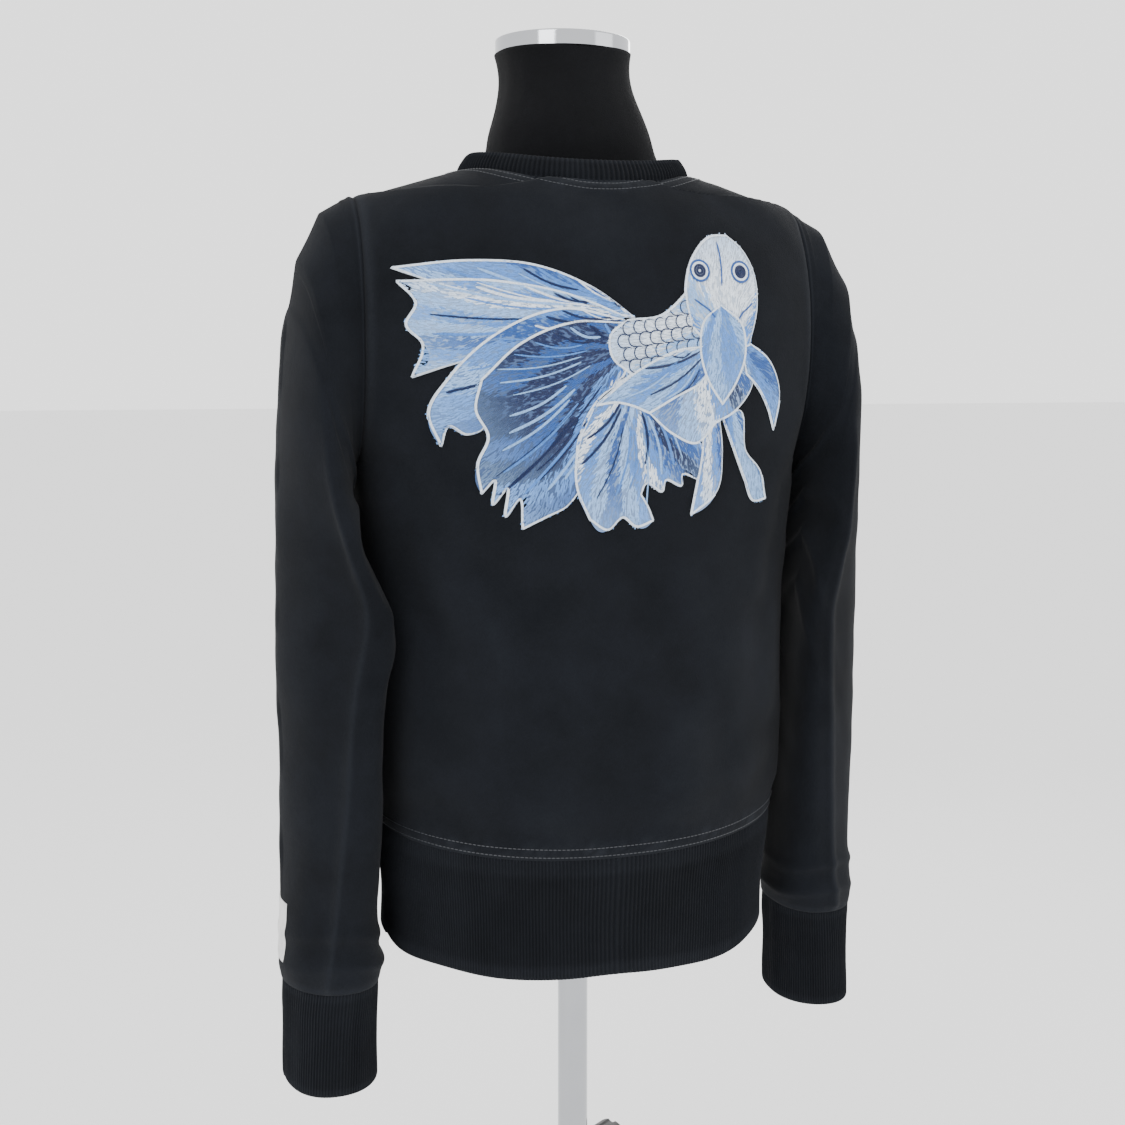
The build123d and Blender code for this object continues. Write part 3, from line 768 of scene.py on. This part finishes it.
def make_form_skin():
    cols, count = 220, 200
    turn = full_turn(cols)
    z = np.linspace(FORM_RINGS[0][0], FORM_RINGS[-1][0], count)[:, None]
    height = np.broadcast_to(z, (count, cols))
    across, along = oval(turn)
    half_width, back, front = np.moveaxis(smooth_table(FORM_RINGS, height), -1, 0)
    lean = NECK_LEAN * clamped((z - NECK_FROM) / (FORM_RINGS[-1][0] - NECK_FROM)) ** 1.2
    x = across * half_width + lean
    y = along * np.where(along > 0, front, back)
    points = np.stack([x * MM, y * MM, height * MM], -1)
    normals = grid_normals(points)
    points = smoothed(laid_on(points, normals, tree_of("form_jersey"), 6 * MM), 3)
    seam = ridge(wrapped(turn - math.pi * 0.02) * 50 / 1.4)[None, :]
    around = turn[None, :] * 55
    ripple = 0.22 * wave(around, height, 61, 30) * clamped((z - 1240) / 30)
    push = 0.5 * seam + ripple
    points = points + normals * (push * MM)[..., None]
    inner = points - normals * 0.8 * MM
    both = np.concatenate([points, inner[::-1]])
    wear_and_highlight = np.broadcast_to(0.05 + 0.3 * seam, points.shape[:2])
    skin = mesh_object(
        "form_jersey_skin", both.reshape(-1, 3), grid_faces(len(both), cols), JERSEY,
        wear_and_highlight=np.concatenate([wear_and_highlight, wear_and_highlight]).ravel(),
    )
    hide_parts("form_jersey")
    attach(skin, "form")


# ---- stitches
STITCH_LIFT = 0.42 * MM


def stitches(starts, ends, normals, width, lift, colours):
    """Rounded stitches as low ridges: four sections of three points each, low at both ends."""
    starts, ends, normals = (np.asarray(a, float) for a in (starts, ends, normals))
    side = of_length_one(np.cross(of_length_one(ends - starts), normals))
    half = np.asarray(width)[..., None] / 2 if np.ndim(width) else width / 2
    sections = []
    for part, wide, tall in ((0.0, 0.55, 0.1), (0.25, 1.0, 1.0), (0.75, 1.0, 1.0), (1.0, 0.55, 0.1)):
        middle = starts + (ends - starts) * part
        rise = normals * lift * tall
        sections += [middle - side * half * wide, middle + rise, middle + side * half * wide]
    verts = np.stack(sections, 1).reshape(-1, 3)
    count = len(starts)
    one = []
    for s in range(3):
        a = s * 3
        one += [(a, a + 1, a + 4, a + 3), (a + 1, a + 2, a + 5, a + 4)]
    base = (np.arange(count) * 12)[:, None, None]
    faces = (base + np.array(one)[None]).reshape(-1, 4).tolist()
    shades = np.repeat(np.asarray(colours, float), 12, axis=0)
    return verts, faces, shades


def seam_stitches(name, lines, normals, pitch, slot, body):
    """Rows of machine stitches along closed lines of points."""
    starts, ends, outs = [], [], []
    for line, normal in zip(lines, normals):
        step = np.linalg.norm(np.roll(line, -1, 0) - line, axis=1)
        total = step.sum()
        places = np.concatenate([[0], np.cumsum(step)])
        closed = np.concatenate([line, line[:1]])
        closed_normal = np.concatenate([normal, normal[:1]])
        count = int(total / pitch)
        at = np.arange(count) * total / count
        for shift, into in ((0.08, starts), (0.86, ends)):
            spot = (at + shift * total / count) % total
            into.append(np.stack([np.interp(spot, places, closed[:, k]) for k in range(3)], -1))
        outs.append(np.stack([np.interp(at, places, closed_normal[:, k]) for k in range(3)], -1))
    starts, ends, outs = (np.concatenate(a) for a in (starts, ends, outs))
    grey = np.full((len(starts), 3), 0.05)
    verts, faces, shades = stitches(starts, ends, outs, 0.75 * MM, STITCH_LIFT, grey)
    rows = mesh_object(name, verts, faces, SEAM_THREAD, shades)
    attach(rows, body)
    return rows


def line_at(points, normals, field, level):
    """Where a rising field crosses a level in each column of a grid, with its normal."""
    cols = points.shape[1]
    line, outs = [], []
    for c in range(cols):
        f = field[:, c]
        r = int(np.argmax(f >= level))
        r = max(r, 1)
        t = (level - f[r - 1]) / max(f[r] - f[r - 1], 1e-9)
        t = min(max(t, 0), 1)
        line.append(points[r - 1, c] + (points[r, c] - points[r - 1, c]) * t)
        outs.append(normals[r, c])
    line, outs = np.array(line), np.array(outs)
    return line + outs * 0.15 * MM, outs


def make_seams(points, normals):
    """Two rows of stitches above the hem's seam and two around the collar."""
    over_seam = over_hem(points) - hem_seam_height(full_turn(BODY_COLS))
    to_neck = -gap_to_line(points, points[-1]) / MM
    for name, rows, field, levels, pitch in (
        ("hem_coverstitch", slice(0, 60), over_seam, (3.0, 9.5), 3.4),
        ("collar_coverstitch", slice(140, None), to_neck, (-9.5, -3.0), 3.2),
    ):
        lines = [line_at(points[rows], normals[rows], field[rows], level) for level in levels]
        seam_stitches(name, *zip(*lines), pitch * MM, "fleece", "form")


# ---- embroidery
FISH_DROP = -20  # added to every height of the fish
EYE_CENTRES = [(68, 562), (104, 562)]
# Outlines of the motifs, as strokes between corners: x and height over the hem, in mm.
# Each stroke starts where the one before it ends, and the first where the last one ends.
MOTIFS = {
    "fish_eye": [[(109, 562), (104, 557), (99, 562), (104, 567)]],
    "fish_breast_fin": [
        [(102, 522), (105, 500), (96, 477), (84, 461)],
        [(71, 480), (65, 503), (69, 524), (84, 536)],
    ],
    "fish_head": [
        [(55, 548), (64, 573), (82, 589), (96, 590)],
        [(108, 580), (117, 562), (118, 538), (109, 506)],
        [(84, 498), (58, 520)],
    ],
    "fish_left_fin": [
        [(48, 502), (16, 488), (-20, 461)],
        [(-4, 463), (10, 460), (22, 455)],
        [(44, 467), (66, 479), (76, 505)],
    ],
    "fish_right_fin": [
        [(128, 495), (140, 472), (136, 440)],
        [(128, 458), (117, 474), (106, 484)],
        [(104, 497), (108, 508)],
    ],
    "fish_belly": [
        [(74, 506), (112, 500)],
        [(112, 476), (96, 456), (78, 447)],
        [(62, 432), (40, 440), (22, 455)],
        [(30, 468), (40, 482)],
    ],
    "fish_flank": [
        [(34, 528), (50, 540), (66, 560)],
        [(80, 530), (76, 500)],
        [(40, 494), (8, 484)],
        [(-7, 497), (-8, 512), (6, 524)],
    ],
    "fish_pelvic_fin": [
        [(82, 450)],
        [(85, 424), (82, 396), (58, 377)],
        [(63, 400), (67, 424), (68, 448)],
    ],
    "fish_trailing_fin": [
        [(100, 456), (108, 424), (124, 408), (131, 386)],
        [(118, 385), (108, 402), (96, 426), (84, 452)],
    ],
    "fish_tail_curl": [
        [(6, 464), (22, 455)],
        [(44, 444), (66, 430), (64, 404)],
        [(50, 408), (50, 400), (36, 404), (34, 396), (20, 402), (16, 394)],
        [(22, 384), (26, 374)],
        [(12, 370), (2, 377), (-10, 368), (-24, 376)],
        [(-34, 400), (-33, 432), (-20, 463)],
    ],
    "fish_tail_heart": [
        [(-36, 522), (-76, 506), (-104, 480)],
        [(-108, 458), (-99, 438), (-106, 418), (-103, 396)],
        [(-94, 406), (-95, 388), (-85, 400), (-86, 379), (-76, 392), (-74, 370)],
        [(-56, 379), (-42, 386), (-32, 398)],
        [(-34, 432), (-20, 463), (8, 484)],
        [(-6, 496), (-8, 510), (2, 522)],
    ],
    "fish_tail_sickle": [
        [(-44, 532), (-92, 514), (-126, 482), (-140, 456), (-131, 431)],
        [(-126, 446), (-114, 440), (-103, 444), (-106, 460), (-104, 480)],
        [(-70, 492), (-34, 506), (4, 524)],
    ],
    "fish_tail_veil": [
        [(-40, 543), (-92, 552), (-160, 552)],
        [(-148, 536), (-155, 520), (-144, 506), (-151, 482)],
        [(-128, 490), (-100, 498)],
        [(-42, 516), (6, 526)],
    ],
    "fish_tail_crest": [
        [(-20, 548), (-62, 564), (-108, 567), (-163, 562)],
        [(-138, 552), (-112, 541)],
        [(-62, 540), (-22, 532), (12, 526)],
    ],
}
# Each motif's material slot, the root from which its threads and rays spread, and its rays' colours.
FILLS = {
    "fish_eye": ("thread_navy", (104, 562), [NAVY]),
    "fish_breast_fin": ("thread_sky", (84, 545), [ICE, SKY, ICE, SKY, SKY, ICE]),
    "fish_head": ("thread_white", (84, 500), [SKY, ICE, SKY, WHITE, WHITE, ICE, SKY, ICE]),
    "fish_left_fin": ("thread_sky", (82, 506), [SKY, WHITE, ICE, SKY, ICE, SKY, MID]),
    "fish_right_fin": ("thread_sky", (100, 506), [MID, ICE, SKY, MID, SKY]),
    "fish_belly": ("thread_white", (70, 520), [ICE, SKY, MID, ICE, WHITE, SKY, NAVY, MID, ICE]),
    "fish_flank": ("thread_white", (90, 522), [SKY, ICE, WHITE, ICE, SKY]),
    "fish_pelvic_fin": ("thread_sky", (76, 470), [ICE, SKY, WHITE, SKY, MID]),
    "fish_trailing_fin": ("thread_sky", (90, 470), [MID, SKY, ICE, MID, SKY]),
    "fish_tail_curl": (
        "thread_white",
        (14, 478),
        [ICE, SKY, WHITE, SKY, ICE, MID, ICE, SKY, WHITE, SKY, MID, NAVY, MID, SKY, NAVY],
    ),
    "fish_tail_heart": (
        "thread_blue",
        (10, 503),
        [MID, NAVY, MID, NAVY, NAVY, MID, NAVY, NAVY, MID, NAVY, SKY, MID, SKY, ICE, SKY, MID, SKY, ICE],
    ),
    "fish_tail_sickle": ("thread_white", (14, 522), [SKY, MID, SKY, ICE, SKY, MID, SKY]),
    "fish_tail_veil": ("thread_sky", (16, 526), [ICE, SKY, WHITE, ICE, SKY, ICE, MID, SKY, ICE]),
    "fish_tail_crest": ("thread_sky", (22, 526), [MID, SKY, SKY, ICE, SKY]),
}


def lengths_along(points):
    return np.concatenate([[0], np.cumsum(np.linalg.norm(np.diff(points, axis=0), axis=1))])


def curve(points, step=1.2):
    """A smooth line through points, as evenly spaced points without the last one."""
    p = np.array(points, float)
    length = lengths_along(p)
    at = np.linspace(0, length[-1], max(int(length[-1] / step), 2), endpoint=False)
    if len(p) == 2:
        return p[0] + (p[1] - p[0]) * (at / length[-1])[:, None]
    return smooth_table(np.concatenate([length[:, None], p], axis=1), at)


def outline_of(strokes):
    """Closed outline as evenly spaced points."""
    strokes = [[before[-1], *stroke] for before, stroke in zip([strokes[-1], *strokes], strokes)]
    return np.concatenate([curve(stroke) for stroke in strokes]) + (0, FISH_DROP)


def inside(points, outline):
    x, y = points[:, 0:1], points[:, 1:2]
    ax, ay = outline[:, 0], outline[:, 1]
    bx, by = np.roll(ax, -1), np.roll(ay, -1)
    crosses = (ay > y) != (by > y)
    at = (bx - ax) * (y - ay) / np.where(by == ay, 1e-9, by - ay) + ax
    return (np.sum(crosses & (x < at), axis=1) % 2) == 1


def clear_of(points, outlines):
    """The points that lie in none of the outlines."""
    for outline in outlines:
        points = points[~inside(points, outline)]
    return points


def dyed(tone, low, high, count):
    """One colour, a little lighter or darker for each stitch."""
    return np.array(tone) * RNG.uniform(low, high, (count, 1))


def hit_from_behind(tree, x, h, reach):
    """Where a ray from behind the back meets a surface, and the surface's normal there."""
    return tree.ray_cast(Vector((x * MM, -0.4, HEM_Z + h * MM)), Vector((0, 1, 0)), reach)[:2]


def on_back(flat, tree, rise):
    """Points on the embroidered back, a rise above it, and the surface's normals there."""
    spots, outs = np.zeros((len(flat), 3)), np.zeros((len(flat), 3))
    for i, (x, h) in enumerate(flat):
        at, normal = hit_from_behind(tree, x, h, 0.6)
        if at is None:
            at, normal = Vector((x * MM, -0.1, HEM_Z + h * MM)), Vector((0, -1, 0))
        spots[i] = at
        outs[i] = normal if normal.y < 0 else -normal
    return spots + outs * rise, outs


def fill_stitches(outline, root, rays, others):
    """Long stitches over one motif, fanning out from its root, in bands of colour."""
    root = np.array(root, float) + (0, FISH_DROP)
    low, high = outline.min(0), outline.max(0)
    pitch, length = 0.95, 4.6
    area = (high - low)[0] * (high - low)[1]
    spots = low + RNG.random((int(area / (pitch * length) * 1.45), 2)) * (high - low)
    spots = clear_of(spots[inside(spots, outline)], others)
    away = spots - root
    far = np.linalg.norm(away, axis=1)
    angle = np.arctan2(away[:, 1], away[:, 0])
    edge_angle = np.unwrap(np.arctan2(*(outline - root).T[::-1]))
    centre = np.arctan2(*(outline.mean(0) - root)[::-1])
    turn = np.angle(np.exp(1j * (angle - centre)))
    spread = np.abs(np.angle(np.exp(1j * (edge_angle - centre))))
    spread = max(min(np.percentile(spread, 97), math.pi), 0.05)
    bend = 0.10 * np.sin(far / 21.0)
    band = (turn + bend * spread + spread) / (2 * spread) * len(rays)
    band = np.clip(band + RNG.uniform(-0.16, 0.16, len(band)), 0, len(rays) - 0.001)
    colours = np.array(rays)[band.astype(int)]
    reach = clamped(far / max(far.max(), 1e-6))
    tip = (clamped((reach - 0.55) / 0.45) ** 1.6)[:, None] * 0.55
    colours = colours * (1 - tip) + np.array(ICE) * tip
    colours = colours * RNG.uniform(0.84, 1.14, (len(colours), 1))
    heading = angle + RNG.normal(0, 0.09, len(angle)) + 0.25 * np.sin(far / 15.0)
    size = length * RNG.uniform(0.65, 1.25, len(spots))
    step = np.stack([np.cos(heading), np.sin(heading)], -1) * (size / 2)[:, None]
    return spots - step, spots + step, colours


def satin_path(path, width, lean=0.35, pitch=0.62, closed=False):
    """Short slanting stitches across a path, side by side, as a corded line."""
    p = np.asarray(path, float)
    if closed:
        p = np.concatenate([p, p[:1]])
    length = lengths_along(p)
    count = max(int(length[-1] / pitch), 2)
    at = np.linspace(0, length[-1], count)
    spots = np.stack([np.interp(at, length, p[:, k]) for k in range(2)], -1)
    ahead = np.gradient(spots, axis=0)
    heading = np.arctan2(ahead[:, 1], ahead[:, 0]) + math.pi / 2 - lean
    ends = [0, 0.08 * length[-1], 0.92 * length[-1], length[-1]]
    wide = width * np.interp(at, ends, [0.55, 1, 1, 0.55])
    if closed:
        wide = np.full(count, width)
    half = np.stack([np.cos(heading), np.sin(heading)], -1) * (wide / 2)[:, None]
    return spots - half, spots + half


def make_embroidery(cloth_points, cloth_faces):
    base_tree = tree_of(*MOTIFS)
    cloth_tree = BVHTree.FromPolygons(cloth_points.reshape(-1, 3).tolist(), cloth_faces)
    outlines = {name: outline_of(strokes) for name, strokes in MOTIFS.items()}
    done = []

    def placed(flat, rise):
        spots, outs = on_back(flat, cloth_tree, rise)
        for i, (x, h) in enumerate(flat):
            at, normal = hit_from_behind(base_tree, x, h, 0.36)
            if at is not None and at.y < spots[i][1] + 0.004:
                out = np.array(normal if normal.y < 0 else -normal)
                spot = np.array(at) + out * rise
                if spot[1] < spots[i][1]:
                    spots[i], outs[i] = spot, out
        return spots, outs

    def sew(name, runs):
        """Sew runs of (flat starts, flat ends, colours, width, rise) as one object."""
        pad = NODES[name].data
        verts = [np.array([v.co[:] for v in pad.vertices])]
        faces = [list(face.vertices) for face in pad.polygons]
        # The pad under the stitches takes the fill's colour, darkened by a quarter as painted shade between
        # the stitches.
        under = np.mean(runs[0][2], axis=0) * 0.75  # the pad shows through in the fill's own colour
        shades = [np.tile(under, (len(verts[0]), 1))]
        count = len(verts[0])
        for start, end, colours, width, rise in runs:
            spots_a, outs = placed(start, rise)
            spots_b, _ = placed(end, rise)
            v, f, c = stitches(spots_a, spots_b, outs, width * MM, STITCH_LIFT, colours)
            verts.append(v)
            faces += [[i + count for i in face] for face in f]
            shades.append(c)
            count += len(v)
        verts, shades = np.concatenate(verts), np.concatenate(shades)
        obj = mesh_object(name + "_stitches", verts, faces, THREAD, shades, False)
        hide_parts(name)
        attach(obj, "form")

    for name, outline in outlines.items():
        slot, root, rays = FILLS[name]
        starts, ends, colours = fill_stitches(outline, root, rays, done)
        runs = [(starts, ends, colours, 1.0, 0.0002)]
        shown = clear_of(outline, done)
        if name != "fish_eye" and len(shown) > 8:
            gaps = np.linalg.norm(np.diff(shown, axis=0), axis=1) > 4
            for part in np.split(shown, np.nonzero(gaps)[0] + 1):
                if len(part) < 6:
                    continue
                a, b = satin_path(part, 1.9)
                runs.append((a, b, dyed(WHITE, 0.9, 1.05, len(a)), 0.85, 0.0006))
        if "tail" in name or name == "fish_left_fin":
            foot = np.array(root, float) + (0, FISH_DROP)
            step = 13 if "heart" in name else 15
            for tip in shown[::step]:
                reach = np.linspace(0.22 + 0.3 * RNG.random(), 0.96 - 0.2 * RNG.random(), 40)
                ray = foot + (tip - foot) * reach[:, None]
                swing = (tip - foot)[::-1] * (-1, 1) / np.linalg.norm(tip - foot)
                ray = ray + swing * (3.0 * np.sin(np.linspace(0, math.pi, 40)))[:, None]
                ray = clear_of(ray[inside(ray, outline)], done)
                if len(ray) > 6:
                    a, b = satin_path(ray, 1.2 + 1.6 * RNG.random(), 0.5, 0.75)
                    tone = [WHITE, ICE, SKY, NAVY][RNG.integers(0, 4)]
                    runs.append((a, b, dyed(tone, 0.85, 1.1, len(a)), 0.8, 0.0005))
        if name == "fish_flank":
            for row in range(5):
                for col in range(9):
                    across = 2 + col * 8.6 + (row % 2) * 4.3
                    centre = np.array([across, 489 + row * 9.6 + col * 1.1 + FISH_DROP])
                    arc = np.linspace(-2.0, 2.0, 22) + math.pi
                    scale = centre + np.stack([np.cos(arc) * 4.4, np.sin(arc) * 5.0], -1)
                    scale = clear_of(scale[inside(scale, outline)], done)
                    if len(scale) > 8:
                        a, b = satin_path(scale, 1.0, 0.2, 0.7)
                        runs.append((a, b, dyed(NAVY, 0.8, 1.3, len(a)), 0.75, 0.0007))
        if name == "fish_head":
            plates = [
                [(62, 540), (68, 536), (74, 532), (79, 526)],
                [(113, 538), (108, 534), (103, 530), (99, 524)],
                [(86, 584), (87, 574), (87, 562), (86, 550)],
            ]
            for centre in EYE_CENTRES:
                for radius, tone in ((2.2, NAVY), (4.2, NAVY), (6.2, WHITE), (7.8, MID)):
                    ring_turn = full_turn(int(radius * 6))
                    ring = np.stack([np.cos(ring_turn), np.sin(ring_turn)], -1)
                    eye = np.array(centre) + (0, FISH_DROP) + radius * ring
                    a, b = satin_path(eye, 2.0, 0.3, 0.6, True)
                    runs.append((a, b, dyed(tone, 0.9, 1.1, len(a)), 0.8, 0.0008))
            for plate in plates:
                a, b = satin_path(curve(plate) + (0, FISH_DROP), 1.6, 0.3, 0.7)
                runs.append((a, b, dyed(MID, 0.8, 1.2, len(a)), 0.8, 0.0006))
        sew(name, runs)
        done.append(outline)


# ---- labels
def make_sleeve_label(points):
    """Blank white woven patch, folded in at its ends and sewn on the outside of the left sleeve."""
    low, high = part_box("sleeve_label")
    toward_back = Vector((0, 16 * MM, 0))
    low, high = low - toward_back, high - toward_back
    tree = BVHTree.FromPolygons(points.reshape(-1, 3).tolist(), grid_faces(len(points), points.shape[1]))
    ys = np.linspace(low.y, high.y, 28)
    zs = np.linspace(low.z, high.z, 32)
    rows = []
    for z in zs:
        row = []
        for y in ys:
            at = tree.ray_cast(Vector((-0.4, y, z)), Vector((1, 0, 0)), 0.4)[0]
            at = at if at is not None else Vector((low.x, y, z))
            edge = min(y - low.y, high.y - y, z - low.z, high.z - z) / (2 * MM)
            row.append((at.x - (0.4 + 0.5 * min(edge, 1)) * MM, y, z))
        rows.append(row)
    top = np.array(rows)
    under = top + np.array([0.9 * MM, 0, 0])
    both = np.concatenate([top, under[::-1]])
    patch = mesh_object(
        "sleeve_patch", both.reshape(-1, 3), [f[::-1] for f in grid_faces(len(both), 28, False)], LABEL,
        wear_and_highlight=np.zeros(both.shape[:2]).ravel(),
    )
    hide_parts("sleeve_label")
    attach(patch, "left_arm")


# ---- build
for look, names in CAD_LOOKS.items():
    for node_name in names:
        NODES[node_name].data.materials.clear()
        NODES[node_name].data.materials.append(look)

body_grid, body_normals = make_body()
make_hem()
make_collar()
make_seams(body_grid, body_normals)
left_grid = make_sleeve("left", -1)
make_sleeve("right", 1)
make_sleeve_label(left_grid)
make_form_skin()
make_embroidery(body_grid, grid_faces(len(body_grid), BODY_COLS))


# ---- studio
FLOOR_HALF_WIDTH = 40.0  # metres, so that no edge of it shows


def area_light(name, place, target, size, power, colour=(1, 1, 1)):
    data = bpy.data.lights.new(name, "AREA")
    data.shape = "RECTANGLE"
    data.size, data.size_y = size
    data.energy = power
    data.color = colour
    light = bpy.data.objects.new(name, data)
    light.location = place
    light.rotation_euler = (Vector(target) - Vector(place)).to_track_quat("-Z", "Y").to_euler()
    bpy.context.scene.collection.objects.link(light)


def make_studio():
    floor_material = plain_material("studio_floor", (0.86, 0.86, 0.86), 0.9, 0.0, 700.0, 0.0)
    half = FLOOR_HALF_WIDTH
    corners = [(-half, -half, 0), (half, -half, 0), (half, half, 0), (-half, half, 0)]
    floor = mesh_object("studio_floor", corners, [[0, 1, 2, 3]], floor_material, smooth=False)
    world = bpy.data.worlds.new("studio")
    world.use_nodes = True
    world.node_tree.nodes["Background"].inputs["Color"].default_value = (1, 1, 1, 1)
    world.node_tree.nodes["Background"].inputs["Strength"].default_value = 2.0
    bpy.context.scene.world = world
    area_light("key", (-1.6, -1.9, 2.4), (0, 0, 1.0), (1.3, 1.3), 34)
    area_light("fill", (2.2, -1.4, 1.5), (0, 0, 1.0), (1.6, 1.6), 12)
    area_light("rim", (1.2, 1.8, 2.2), (0, 0, 1.1), (1.0, 1.0), 20)


def make_camera():
    """Camera behind the sweatshirt and a little to its left, at the height of the shoulders."""
    azimuth = math.radians(CAMERA_AZIMUTH)
    data = bpy.data.cameras.new("camera")
    data.sensor_width = 36.0
    data.lens = CAMERA_LENS
    data.shift_y = -CAMERA_SHIFT
    camera = bpy.data.objects.new("camera", data)
    camera.location = (math.sin(azimuth) * CAMERA_AWAY, -math.cos(azimuth) * CAMERA_AWAY, CAMERA_HEIGHT)
    pitch, yaw = math.radians(CAMERA_PITCH), math.radians(CAMERA_YAW)
    camera.rotation_euler = (math.pi / 2 - pitch, 0, azimuth + yaw)
    bpy.context.scene.collection.objects.link(camera)
    bpy.context.scene.camera = camera


make_studio()
make_camera()
